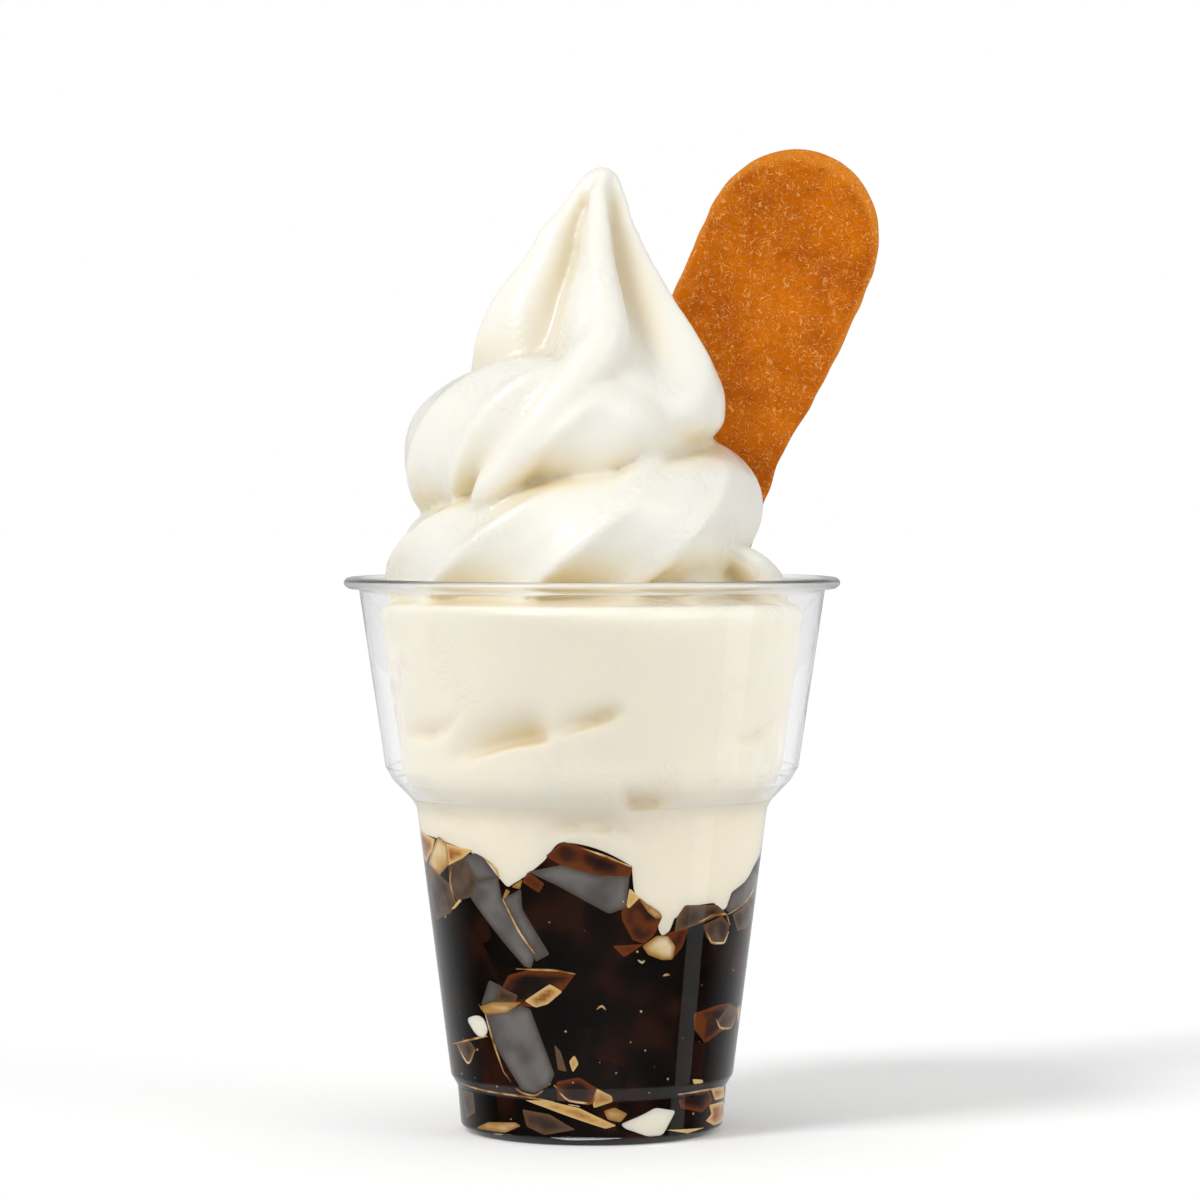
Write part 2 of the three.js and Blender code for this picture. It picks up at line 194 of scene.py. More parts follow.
# Where the cream meets the jelly on the wall: millimetres round from the front, and the height.
CREAM_EDGE = [
    (-48.9, 57.5), (-38, 57.3), (-24.5, 55.2), (-18.3, 51), (-16, 49), (-13.3, 50.5), (-9.3, 53.4),
    (-5.3, 57.6), (7.2, 53.1), (7.9, 48.2), (10.7, 45.4), (12.5, 44.2), (13, 41.2), (14, 39.9),
    (15.6, 40.9), (16.3, 43), (17.6, 43.4), (18.6, 44.7), (20, 45.1), (25.6, 45.4), (27, 44.3),
    (28.4, 43.8), (30, 44.5), (31, 46.6), (36, 48.4), (40, 51.4), (44, 53.2), (48.9, 57.5),
]


def seeded_draws(seed):
    """An endless run of even draws from 0 to 1, the same each time."""
    state = seed
    while True:
        state = (state * DRAW_FACTOR + DRAW_STEP) % DRAW_RANGE
        yield state / DRAW_RANGE


draws = seeded_draws(HEAP_SEED)


def spread(amount):
    """An even draw from minus to plus an amount."""
    return amount * (2 * next(draws) - 1)


def along(stations, at):
    """The values at a place between stations, on a smooth curve that never overshoots them."""
    k = max(i for i in range(len(stations) - 1) if i == 0 or stations[i][0] <= at)

    def slope(i, column):
        return (stations[i + 1][column] - stations[i][column]) / (stations[i + 1][0] - stations[i][0])

    def tangent(i, column):
        if i == 0 or i == len(stations) - 1:
            return slope(min(i, len(stations) - 2), column)
        before, after = slope(i - 1, column), slope(i, column)
        return 2 * before * after / (before + after) if before * after > 0 else 0.0

    span = stations[k + 1][0] - stations[k][0]
    t = (at - stations[k][0]) / span
    return [
        (1 + 2 * t) * (1 - t) ** 2 * stations[k][column]
        + t * (1 - t) ** 2 * span * tangent(k, column)
        + t * t * (3 - 2 * t) * stations[k + 1][column]
        + t * t * (t - 1) * span * tangent(k + 1, column)
        for column in range(1, len(stations[0]))
    ]


def cream_edge(angle):
    """The height where the cream begins, at an angle; the back is the front turned half round."""
    round_from_front = math.remainder(angle + math.pi / 2, math.pi)
    quarter = CREAM_EDGE[-1][0]
    return along(CREAM_EDGE, quarter * round_from_front / (math.pi / 2))[0]


def pressed_on_wall(point, into):
    """A point in metres, kept from going further out than a little way into the cup's wall."""
    radius = math.hypot(point.x, point.y)
    height = point.z / MM
    under_cream = height > cream_edge(math.atan2(point.y, point.x))
    limit = (inside_radius(height) + (UNDER_CREAM if under_cream else into)) * MM
    if radius > limit:
        point = Vector((point.x * limit / radius, point.y * limit / radius, point.z))
    return Vector((point.x, point.y, max(point.z, (CUP_FLOOR - INTO_WALL) * MM)))


def jelly_block(size, place, into):
    """A knife-cut block with slightly rounded edges, set in its place and pressed on the wall."""
    block = bmesh.new()
    bmesh.ops.create_cube(block, size=1.0)
    bmesh.ops.scale(block, vec=Vector(size) * MM, verts=block.verts)
    bmesh.ops.bevel(
        block, geom=list(block.edges), offset=BLOCK_EDGE * MM, offset_type="OFFSET", segments=3,
        profile=0.5, affect="EDGES", clamp_overlap=True, material=-1,
    )
    long_edges = [edge for edge in block.edges if edge.calc_length() > BLOCK / 2 * MM]
    bmesh.ops.subdivide_edges(block, edges=long_edges, cuts=BLOCK_GRID, use_grid_fill=True)
    for vert in block.verts:
        vert.co = pressed_on_wall(place @ vert.co, into)
    bmesh.ops.recalc_face_normals(block, faces=block.faces)
    return block


def joined(shapes):
    """One bmesh that holds several, which are freed."""
    whole = bmesh.new()
    for shape in shapes:
        part = bpy.data.meshes.new("part")
        shape.to_mesh(part)
        shape.free()
        whole.from_mesh(part)
        bpy.data.meshes.remove(part)
    return whole


def mottled(name, colours, patch_mm, sockets, rim=None):
    """A material whose colour drifts through some shades, darkest first, and to its rim's colour."""
    material, tree, shader = finish(name, sockets)
    place = add(tree, "ShaderNodeTexCoord", {})
    patches = add(tree, "ShaderNodeTexNoise", {
        "Vector": place.outputs["Object"], "Scale": 1 / (patch_mm * MM), "Detail": 1.5, "Roughness": 0.5,
    })
    ramp = add(tree, "ShaderNodeValToRGB", {"Fac": patches.outputs["Fac"]})
    stops = ramp.color_ramp.elements
    for i, colour in enumerate(colours):
        at = MOTTLE_FROM + (MOTTLE_TO - MOTTLE_FROM) * i / (len(colours) - 1)
        stop = stops[i] if i < len(stops) else stops.new(at)
        stop.position = at
        stop.color = linear(colour)
    shade = ramp.outputs["Color"]
    if rim:
        thin = add(tree, "ShaderNodeAttribute", {}, attribute_name="thin")
        shade = add(tree, "ShaderNodeMix", {
            "Factor": thin.outputs["Fac"], 6: shade, 7: linear(rim),
        }, data_type="RGBA").outputs[2]
    tree.links.new(shade, shader.inputs["Base Color"])
    return material


blocks = []
for ring, count in enumerate(RING_COUNTS):
    for i in range(count):
        around = math.tau * (i + 0.5 * (ring % 2) + RING_SLACK * next(draws)) / count
        height = HEAP_BOTTOM + BLOCK / 2 + ring * RING_PITCH + spread(BLOCK_HEIGHT_SPREAD)
        if ring == len(RING_COUNTS) - 1:
            off = math.remainder(around - TOP_RING_DIP_ANGLE, math.tau)
            height -= TOP_RING_DIP * math.exp(-((off / TOP_RING_DIP_WIDTH) ** 2))
        size = [BLOCK * (1 + spread(BLOCK_SIZE_SPREAD)) for _ in range(3)]
        turn = spread(BLOCK_TURN_SPREAD)
        roll = spread(BLOCK_ROLL_SPREAD)
        reach = inside_radius(max(height, FOOT_STEP_TOP)) + BLOCK_PRESS - BLOCK / 2
        place = (
            Matrix.Rotation(around, 4, "Z")
            @ Matrix.Translation(Vector((reach, 0, height)) * MM)
            @ Matrix.Rotation(roll, 4, "Y")
            @ Matrix.Rotation(turn, 4, "X")
        )
        order = len(blocks) * BLOCK_NEST_STRIDE % sum(RING_COUNTS)
        into = INTO_WALL + BLOCK_NEST * order / sum(RING_COUNTS)
        blocks.append(jelly_block(size, place, into))

# Coffee set with gelatine is near black where it is thick and red-brown where light gets into it.
# It is wet where it touches the wall, so the shine is the cup's and not its own.
JELLY_SHADES = ("#070403", "#0e0704", "#180b06", "#2c140b")
wet_jelly = mottled("coffee_jelly_wet", JELLY_SHADES, BLOCK_MOTTLE_MM, {
    "Roughness": 0.06, "Specular IOR Level": 0.0,
})
heap = piece_of(joined(blocks), "coffee_jelly_blocks", wet_jelly)
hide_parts("coffee_jelly")

# The coffee syrup: what has run out of the jelly. It stands between the blocks and wets the wall,
# from the floor up to the cream, so it is one body turned to the cup's inside.
SYRUP_INTO_WALL = 0.08
SYRUP_MOTTLE_MM = 9.0
SYRUP_STEPS = (60, 480)


def syrup_place(share_up, share_round):
    """A point of the syrup's skin on the wall."""
    angle = math.tau * share_round
    bottom = CUP_FLOOR - SYRUP_INTO_WALL
    height = bottom + share_up * (cream_edge(angle) - bottom)
    radius = inside_radius(height) + SYRUP_INTO_WALL
    return Vector((radius * math.cos(angle), radius * math.sin(angle), height)) * MM


def wrapped(steps_along, steps_round, place):
    """A bmesh of a fine grid wrapped into a closed skin, its two ends capped."""
    shape = bmesh.new()
    bmesh.ops.create_grid(shape, x_segments=steps_along, y_segments=steps_round, size=0.5)
    for vert in shape.verts:
        vert.co = place(vert.co.x + 0.5, vert.co.y + 0.5)
    bmesh.ops.remove_doubles(shape, verts=shape.verts, dist=MERGE)
    bmesh.ops.holes_fill(shape, edges=[edge for edge in shape.edges if edge.is_boundary])
    bmesh.ops.recalc_face_normals(shape, faces=shape.faces)
    return shape


# Strong black coffee: as dark as the jelly, and a little redder where it is thin.
SYRUP_SHADES = ("#070403", "#0e0704", "#180b06", "#32170c")
syrup_coat = mottled("coffee_syrup", SYRUP_SHADES, SYRUP_MOTTLE_MM, {
    "Roughness": 0.05, "Specular IOR Level": 0.0,
})
syrup = piece_of(wrapped(*SYRUP_STEPS, syrup_place), "coffee_syrup", syrup_coat)

# The cut faces: corners and offcuts of the blocks that lie on the wall. Where they stay dry their grey is a
# painted reflection of the air film on them, where they are thin the light comes through brown and amber,
# and some have cream on them.
# Outlines are in millimetres round from the front and up the wall.
CHUNK_DEPTH = 4.0
CHUNK_EDGE = 0.12
CHUNK_CORNER = 0.35
CHUNK_SLICE = 0.8
CHUNK_THIN = 1.2
CHUNK_MOTTLE_MM = 5.5
# The dry faces: their grey is a painted reflection.
DRY_PAINTED_REFLECTION_FACES = [
    [(-23.5, 49.8), (-18.3, 50.7), (-17.4, 46.5), (-10.6, 36.4), (-11.4, 33.7), (-12.8, 34), (-25.3, 46.6)],
    [(-17.5, 46.5), (-13.4, 48.7), (-13.2, 45), (-7.8, 36.5), (-10.6, 35), (-10.8, 36.3)],
    [(-12, 52), (-5.5, 53.4), (1.3, 51.4), (7, 51.3), (6.4, 45.3), (3.2, 44.2), (-6, 49.3)],
    [(-26.8, 54.2), (-23.6, 55), (-21.7, 54.3), (-18.2, 50.6), (-23.5, 49.5)],
    [(30.9, 47.1), (36, 48.7), (40.2, 50.8), (47, 48.6), (46.5, 45.6), (30.3, 43), (29, 43.8)],
    [
        (-22, 24.5), (-13.5, 26.6), (-11.6, 26), (-6.9, 13.8), (-7.9, 11.6), (-11, 10), (-13.6, 10.6),
        (-19.4, 18.4),
    ],
    [(-22.9, 26), (-20.7, 31), (-17.6, 30), (-19, 27)],
]
BROWN_FACES = [
    [(-31.6, 52.4), (-26.6, 54.3), (-23.3, 49.6), (-25.3, 46.4), (-29.3, 45.5), (-31.5, 48.6)],
    [(-41.6, 51.8), (-35.3, 50), (-31, 48.5), (-30.2, 45.2), (-31.3, 43), (-38.7, 41), (-41.4, 45.3)],
    [(-18.2, 29.9), (-14.2, 28.5), (-15, 26.6), (-19.2, 27)],
    [(16.4, 43), (18.3, 45.4), (26.2, 45), (28.8, 43.4), (22.4, 41.8), (16, 40.4)],
    [(22.6, 41.4), (27.8, 42.8), (30.5, 40.8), (29.4, 38), (25.7, 37.2), (23.5, 38.9)],
    [(31.3, 42.8), (39.3, 44.6), (43, 42.2), (39, 39.6), (33.8, 39.3)],
    [(-32.5, 17.6), (-26.9, 19), (-24.8, 17.2), (-27.7, 14.2), (-30.3, 15.2)],
    [(27.4, 22.6), (32.3, 25.5), (36.5, 24), (36.5, 22), (31.9, 20.6), (28.5, 20.3)],
    [(-7, 19.5), (-5.8, 18.2), (-4.6, 14.3), (-6.3, 14.6)],
    [(-33, 8.4), (-27, 8.6), (-26.5, 4.6), (-31, 3)],
    [(-13.5, 6.6), (-8, 6), (-3, 3.2), (-9, 2), (-12.6, 3.4)],
]
RED_FACES = [
    [(-8.6, 55), (-5.3, 57.8), (-1.8, 56.8), (7.6, 53.1), (7.1, 51), (1.3, 51.2), (-5.5, 53.2)],
    [(5.4, 45.5), (8.9, 47.2), (13.4, 43.4), (11.8, 40), (9.8, 38.4), (7.6, 39.2), (5.6, 42.9)],
    [(3.8, 38.2), (9.8, 38.4), (6, 36)],
    [(14, 40.2), (19.2, 41.4), (17.8, 37.6), (15.6, 35.3)],
    [(-16.2, 32.2), (-12, 33.4), (-3, 32.9), (-5.2, 29.8), (-10.9, 26.4), (-14.8, 26.6), (-18, 29.2)],
    [(-6.6, 12.4), (-2.3, 13.3), (1.2, 11.1), (-0.4, 7.8), (-6.4, 8.7)],
    [(20.6, 24.6), (27, 25.6), (32.3, 25.6), (28.5, 20.2), (23.9, 18.6), (20.9, 21.5)],
    [(-13.2, 50), (-12, 52), (-8.8, 49.8), (-9.8, 48)],
    [(17, 9.2), (26, 9.4), (28, 6.8), (24, 5), (18, 6.4)],
]
AMBER_FACES = [
    [(-47.9, 58.2), (-36.6, 56.8), (-38.3, 54.4), (-43.4, 51.7), (-49, 53.4)],
    [(-32.2, 56.4), (-28.6, 55.9), (-24.2, 55.5), (-27, 53.8), (-31.6, 52.1)],
    [(-31.2, 43.7), (-28.4, 45.9), (-27.6, 45.7), (-30, 44)],
    [(7, 49), (8.9, 47.2), (6.8, 45.1), (6.4, 45.7)],
    [(-12.8, 27.5), (-7.8, 30.9), (-5.4, 29.5), (-8.3, 27), (-10.6, 26.3)],
    [(-4.2, 16.3), (-3.2, 17.5), (-2.4, 15.9), (-3.5, 14.2)],
    [(0.1, 9), (1, 11.2), (3.7, 9.7), (3.9, 8.5), (0.3, 7.3)],
    [(-12.9, 8.4), (-8.4, 8.6), (-2.3, 7.3), (4.6, 3.9), (2.5, 3.4), (-8.4, 7.1)],
    [(26.5, 6.2), (34, 6), (38, 4), (36, 2), (29, 1.9), (25.4, 3.2), (27.7, 4.3)],
    [(20.6, 12), (23.5, 11.6), (23.7, 11), (21, 11)],
    [(27, 9.4), (34, 9), (35, 6.6), (29, 6.8)],
    [(14.5, 2.6), (25, 2), (19.6, 1.5)],
]
MILKY_FACES = [
    [(-34.9, 57.5), (-31.8, 56.4), (-31.3, 52.3), (-35.3, 50), (-41.4, 51.8), (-38.1, 54.6)],
    [(8.8, 47), (12.8, 44.4), (13.5, 43.3), (12.1, 43.1), (10.5, 44.4)],
    [(-23.4, 25.7), (-19.6, 26.9), (-13.4, 27.2), (-16.6, 25), (-21.9, 24.3)],
    [(9.4, 38), (12.3, 39.9), (14.5, 39.8), (16.2, 37.7), (15.6, 35.2), (13.4, 35.2), (10.6, 36.3)],
    [(36.2, 24.3), (40, 24.4), (40, 20.4), (37.6, 22)],
    [(2.2, 6.8), (4.2, 7.4), (6.7, 6.1), (5.3, 4.5), (2.9, 5.1)],
    [(-26, 1.8), (-22, 3.4), (-15, 4), (-13.8, 3.4), (-17.4, 1.8)],
    [(-15.4, 49), (-13.1, 50.5), (-13.6, 48.6)],
    [(-17.4, 46.5), (-16.5, 48.6), (-15.6, 48.1), (-16.8, 46.6)],
]


def on_wall(side, height, into):
    """A place in mm on the cup's wall: so far round from the front, so high and so far into it."""
    angle = side / inside_radius(height) - math.pi / 2
    radius = inside_radius(height) + into
    return Vector((radius * math.cos(angle), radius * math.sin(angle), height))


def smoothstep(value, low, high):
    """0 below low, 1 above high, and a smooth rise between."""
    t = min(max((value - low) / (high - low), 0.0), 1.0)
    return t * t * (3 - 2 * t)


def to_outline(outline, spot):
    """How far a flat spot is from the nearest side of an outline."""
    nearest = []
    for start, end in zip(outline, outline[1:] + outline[:1]):
        run = Vector(end) - Vector(start)
        share = (spot - Vector(start)).dot(run) / run.length_squared
        nearest.append((Vector(start) + run * min(max(share, 0.0), 1.0) - spot).length)
    return min(nearest)


def wall_chunk(outline, rise, corner):
    """A piece pressed on the wall: its outline, thickened inwards, rounded, and bent to the wall."""
    shape = bmesh.new()
    shape.faces.new([shape.verts.new((side * MM, 0, height * MM)) for side, height in outline])
    bmesh.ops.bevel(
        shape, geom=list(shape.verts), offset=corner * MM, offset_type="OFFSET", segments=3, profile=0.5,
        affect="VERTICES", clamp_overlap=True, material=-1,
    )
    grown = bmesh.ops.extrude_face_region(shape, geom=list(shape.faces))["geom"]
    inner = [item for item in grown if isinstance(item, bmesh.types.BMVert)]
    bmesh.ops.translate(shape, vec=(0, CHUNK_DEPTH * MM, 0), verts=inner)
    bmesh.ops.bevel(
        shape, geom=list(shape.edges), offset=CHUNK_EDGE * MM, offset_type="OFFSET", segments=2,
        profile=0.5, affect="EDGES", clamp_overlap=True, material=-1,
    )
    left, low = (min(point[axis] for point in outline) for axis in (0, 1))
    right, high = (max(point[axis] for point in outline) for axis in (0, 1))
    upright = int((right - left) / CHUNK_SLICE)
    level = int((high - low) / CHUNK_SLICE)
    cuts = [((left + i * CHUNK_SLICE, 0, 0), (1, 0, 0)) for i in range(1, upright + 1)]
    cuts += [((0, 0, low + i * CHUNK_SLICE), (0, 0, 1)) for i in range(1, level + 1)]
    cuts += [((0, 0, height), (0, 0, 1)) for radius, height in cup_inside]
    for spot, facing in cuts:
        everything = list(shape.verts) + list(shape.edges) + list(shape.faces)
        bmesh.ops.bisect_plane(shape, geom=everything, plane_co=Vector(spot) * MM, plane_no=facing)
    thin = shape.verts.layers.float.new("thin")
    for vert in shape.verts:
        side, depth, height = vert.co / MM
        vert[thin] = 1 - smoothstep(to_outline(outline, Vector((side, height))), 0, CHUNK_THIN)
        vert.co = on_wall(side, height, rise - depth) * MM
    bmesh.ops.recalc_face_normals(shape, faces=shape.faces)
    return shape


def all_round(shapes):
    """One bmesh of shapes made for the front, with copies at the back that are turned half round."""
    front = joined(shapes)
    back = front.copy()
    bmesh.ops.rotate(back, cent=(0, 0, 0), matrix=Matrix.Rotation(math.pi, 3, "Z"), verts=back.verts)
    return joined([front, back])


# Each kind of face: its outlines, how far it reaches into the wall, its shades and its thin rim. The colour
# is painted light:
# that which gets through, from dark red-brown to cream, with a brighter rim, and on the dry faces a grey
# painted reflection.
CUT_FACES = (
    ("red_brown_cut_faces", RED_FACES, 0.22, ("#140805", "#260f08", "#42200e", "#6e3612"), "#74380f"),
    ("brown_cut_faces", BROWN_FACES, 0.25, ("#2a201b", "#483930", "#665447"), "#6e5238"),
    # The dry faces' grey shades are a painted reflection.
    ("dry_painted_reflection_cut_faces", DRY_PAINTED_REFLECTION_FACES, 0.28, ("#5f5a57", "#6f6a67", "#7c7774"), "#585049"),
    ("amber_cut_faces", AMBER_FACES, 0.31, ("#7a3c10", "#a8651c", "#d09548"), "#e8c684"),
    ("milky_cut_faces", MILKY_FACES, 0.34, ("#c9a566", "#dcc594", "#ece0c4"), "#a8783a"),
)
for name, outlines, rise, colours, rim in CUT_FACES:
    cut_jelly = mottled(f"coffee_jelly_{name}", colours, CHUNK_MOTTLE_MM, {
        "Roughness": 0.2, "Specular IOR Level": 0.05,
    }, rim)
    chunks = [wall_chunk(outline, rise, CHUNK_CORNER) for outline in outlines]
    faces = piece_of(all_round(chunks), name, cut_jelly)

# The bright edges: the thin rounded rims of wet jelly along the cut faces and above the step of the
# foot, where the syrup runs out to nothing and the light comes through it cream and gold.
EDGE_HALF = 0.24
EDGE_RISE = 0.28
EDGE_TAPER = 3
EDGE_STEPS = (24, 8)
EDGE_MOTTLE_MM = 3.0
BEAD_LOOK = 0.05
BEAD_BACK = Vector((0, 1, 0.01))
EDGE_ROUTES = [
    [(-1.8, 56.6), (2.6, 55), (7.3, 53)],
    [(21.6, 42), (25.5, 43), (28.7, 43), (30.6, 40.8)],
    [(29.4, 42.8), (36, 44.5), (41, 46.5), (43.5, 49)],
    [(-17.5, 13.6), (-13.2, 9.8), (-11, 9.5), (-7.7, 12)],
    [(-34.6, 17.3), (-26.5, 19), (-21.3, 20.2)],
    [(-17.3, 46.6), (-13.4, 40), (-10.6, 36.4)],
    [(-21.7, 54.4), (-18.7, 52.2), (-17.9, 50.4)],
    [(-30.4, 52), (-31.2, 49), (-29.6, 44.9)],
    [(-38, 10.6), (-26.6, 9.7), (-12.6, 9.1), (-2.2, 7.6)],
    [(17.3, 9.3), (23.6, 9.4), (31, 9.3)],
    [(27, 23), (29, 21), (33, 20.6), (35.5, 22)],
    [(23.5, 40), (25.2, 37.8), (28.4, 37.5), (30.2, 39.5)],
    [(-21.8, 24.3), (-20, 19.5), (-17.5, 13.6)],
    [(-32, 17.9), (-27.6, 14.4), (-25, 17.3)],
    [(-7, 11.7), (-4, 8.7), (-0.3, 8.2), (1, 11.1)],
    [(0.9, 26.2), (1.8, 26.8), (2.6, 26.1)],
    [(8.6, 35.4), (9.4, 34.9), (9.9, 35.3)],
    [(13.6, 32.2), (14.3, 32.4), (15, 32.3)],
    [(-14.5, 33.5), (-8, 33.5), (-3, 32.9)],
]


def bead(points, steps_along, steps_round):
    """A bmesh of a round strand through places in mm, each given with its half thickness."""
    stations = [(i, *point) for i, point in enumerate(points)]
    last = len(points) - 1

    def place(share_along, share_round):
        at = share_along * last
        *centre, half = along(stations, at)
        ahead = Vector(along(stations, min(at + BEAD_LOOK, last))[:3])
        behind = Vector(along(stations, max(at - BEAD_LOOK, 0))[:3])
        heading = (ahead - behind).normalized()
        side = heading.cross(BEAD_BACK).normalized()
        angle = math.tau * share_round
        out = side * math.cos(angle) + heading.cross(side) * math.sin(angle)
        return (Vector(centre) + out * half) * MM

    return wrapped(steps_along, steps_round, place)


edges = []
for route in EDGE_ROUTES:
    halves = [EDGE_HALF / EDGE_TAPER, *[EDGE_HALF] * (len(route) - 2), EDGE_HALF / EDGE_TAPER]
    points = [(*on_wall(side, height, EDGE_RISE), half) for (side, height), half in zip(route, halves)]
    edges.append(bead(points, *EDGE_STEPS))

# A thin wet edge gathers light: it runs from gold to cream along its length, with a wet glint.
EDGE_SHADES = ("#9a5a1c", "#d9a860", "#f3e0b8")
bright_edge = mottled("coffee_jelly_bright_edge", EDGE_SHADES, EDGE_MOTTLE_MM, {
    "Roughness": 0.1, "IOR": 1.36,
})
bright = piece_of(all_round(edges), "bright_jelly_edges", bright_edge)

# The bubbles: air that the setting gelatine has kept. They are tiny pale beads in the jelly's skin,
# each one pressed on the wall, and they catch the light as small glints.
BUBBLES = 45
BUBBLE_SMALLEST = 0.1
BUBBLE_LARGEST = 0.28
BUBBLE_LOWEST = 3.0
BUBBLE_UNDER_CREAM = 3.0
BUBBLE_MOTTLE_MM = 4.0

bubbles = []
for i in range(BUBBLES):
    angle = -math.pi * next(draws)
    height = BUBBLE_LOWEST + next(draws) * (cream_edge(angle) - BUBBLE_UNDER_CREAM - BUBBLE_LOWEST)
    half = BUBBLE_SMALLEST + (BUBBLE_LARGEST - BUBBLE_SMALLEST) * next(draws) ** 2
    side = (angle + math.pi / 2) * inside_radius(height)
    bubble = bmesh.new()
    bmesh.ops.create_icosphere(bubble, subdivisions=1, radius=half * MM)
    bmesh.ops.translate(bubble, vec=on_wall(side, height, INTO_WALL) * MM, verts=bubble.verts)
    bubbles.append(bubble)

# A bubble's skin is thin jelly with air behind it, and glossy; its gold to cream colour is a painted glint.
BUBBLE_GLINT_SHADES = ("#8a5a24", "#d9b272", "#fbf0d8")
bubble_glint_skin = mottled("coffee_jelly_bubble_glint", BUBBLE_GLINT_SHADES, BUBBLE_MOTTLE_MM, {
    "Roughness": 0.1, "IOR": 1.36,
})
trapped = piece_of(all_round(bubbles), "trapped_bubbles", bubble_glint_skin)

# The soft serve: vanilla soft serve drawn from a star nozzle. It is let run into the cup first, and
# then piped as one ridged rope in two turns that close in to the pulled peak.
FILL = [
    (0, 37), (29.74, 37), (32.42, 58), (33.1, 62.0), (34.0, 63.6), (35.3, 66.6), (36.5, 70.0),
    (36.8, 73.0), (40.3, 97.5), (40.5, 99.6), (39.6, 101.4), (30.0, 103.5), (0, 104.5),
]
# The folds in the fill: the lower edge of each, as millimetres round from the front and the height,
# how far up the hollow above it fades out at its left and right end, where it is deepest and how deep.
FOLDS = [
    ([(-46.0, 75.0), (-32.0, 76.3), (-23.0, 82.0)], 3.0, 2.0, 0.4, 2.2),
    ([(-31.0, 70.7), (-19.7, 74.0), (-13.0, 75.6), (-6.8, 76.2)], 5.0, 4.6, 0.8, 5.2),
    ([(-8.6, 75.9), (-3.3, 78.1), (1.1, 79.4), (6.0, 81.2)], 3.4, 2.2, 0.75, 4.2),
    ([(27.8, 74.1), (35.6, 75.0), (43.0, 78.6)], 2.0, 2.0, 0.7, 2.4),
    ([(5.0, 65.8), (9.0, 63.6), (20.0, 64.8)], 2.5, 4.0, 0.25, 4.4),
    (
        [(-13.5, 53.0), (-10.0, 57.2), (-5.7, 59.2), (0.0, 59.6), (7.0, 58.0), (11.5, 55.5)],
        1.6, 1.6, 0.5, 4.0,
    ),
]
FOLD_LIP = 1.0
FOLDS_FROM = 52.5
FOLD_RINGS = 72
FOLD_RING_PITCH = 0.5
FOLD_RADIUS = 37.0
# The rope: degrees of winding, then how far out and up its middle is, its half width and half height,
# how far its axis is shifted to the side, and how many degrees the ridges have twisted.
ROPE = [
    (-90, 27.0, 93.0, 8.0, 8.0, -1.5, -140),
    (0, 23.8, 100.5, 14.2, 12.0, -1.5, 0),
    (180, 24.0, 107.0, 13.8, 12.5, -1.5, 290),
    (360, 22.0, 118.8, 12.3, 13.0, -1.5, 612),
    (450, 21.5, 124.0, 13.2, 13.0, -1.5, 770),
    (540, 21.8, 128.6, 13.2, 14.0, -1.5, 980),
    (610, 18.5, 134.5, 13.0, 13.5, -1.5, 1150),
    (670, 13.0, 133.5, 11.5, 10.5, -1.0, 1290),
    (720, 9.0, 132.0, 11.0, 8.5, 0.0, 1410),
]
ROPE_RIDGES = 5
# How deep the rope's grooves are along its turns: shallow where it is drawn out at the front right.
ROPE_GROOVES = [
    (-90, 0.31), (150, 0.36), (215, 0.46), (250, 0.42), (288, 0.2), (312, 0.1), (370, 0.08), (430, 0.24),
    (540, 0.15), (612, 0.17), (645, 0), (720, 0),
]
ROPE_RIDGE_SWELL = 0.3
ROPE_RIDGE_UNEVEN = 0.32
ROPE_UNEVEN_START = 0.9
ROPE_UNEVEN_DRIFT = 0.8
ROPE_RIDGE_NARROW = 0.45
ROPE_RIDGE_START = -14
ROPE_PRESSED_FROM = 0.6
ROPE_PRESSED_TO = 1.0
ROPE_HUB = 1.5
ROPE_LOOK = 0.5
# The heart: the soft serve that closes the middle of the turns.
HEART = [(0, 100), (23, 100), (22, 124), (18, 136), (0, 138)]
# The peak: height, half width, shift to the side, degrees of twist, and depth of the grooves.
PEAK = [
    (127.0, 16.0, 1.5, -36, 0.05),
    (131.0, 20.2, 1.5, -30, 0.05),
    (136.0, 24.0, 1.6, -24, 0.06),
    (141.0, 24.4, 1.4, -18, 0.1),
    (147.0, 23.4, 0.8, -14, 0.26),
    (152.0, 21.6, -0.5, -10, 0.38),
    (160.0, 17.2, -1.8, -4, 0.5),
    (167.0, 12.5, -1.2, -1, 0.56),
    (172.5, 9.5, -0.9, 0, 0.56),
    (177.0, 6.7, 0.4, 0, 0.58),
    (181.0, 4.6, 1.2, 0, 0.4),
    (183.2, 2.9, 1.7, 0, 0.15),
    (184.4, 1.0, 2.0, 0, 0.0),
]
PEAK_RIDGES = 5
PEAK_RIDGE_SWELL = 0.03
PEAK_RIDGE_NARROW = -0.2
PEAK_RIDGE_LEAN = -0.55
PEAK_RIDGE_START = -84
RIDGE_SHARPNESS = 1.25
SKIN_VOXEL = 0.7
SETTLE_ROUNDS = 6
SETTLE_SHARE = 0.5
FILL_STEPS = 256
HEART_STEPS = 64
ROPE_STEPS = (270, 110)
PEAK_STEPS = (90, 100)
RIDGE_STEPS = (60, 24)
CLIMB_STEPS = (40, 20)
CURL_STEPS = (24, 16)
# The crisp ridge in front, drawn out of the second turn up into the tip: places and half widths.
RIDGE = [
    (-22.0, -21.0, 118.5, 1.4),
    (-18.5, -24.6, 123.5, 3.4),
    (-9.0, -25.6, 135.0, 4.8),
    (1.6, -20.2, 149.5, 4.8),
    (2.6, -18.4, 153.3, 4.4),
    (1.2, -9.8, 168.6, 2.8),
    (1.2, -4.0, 180.0, 1.6),
]
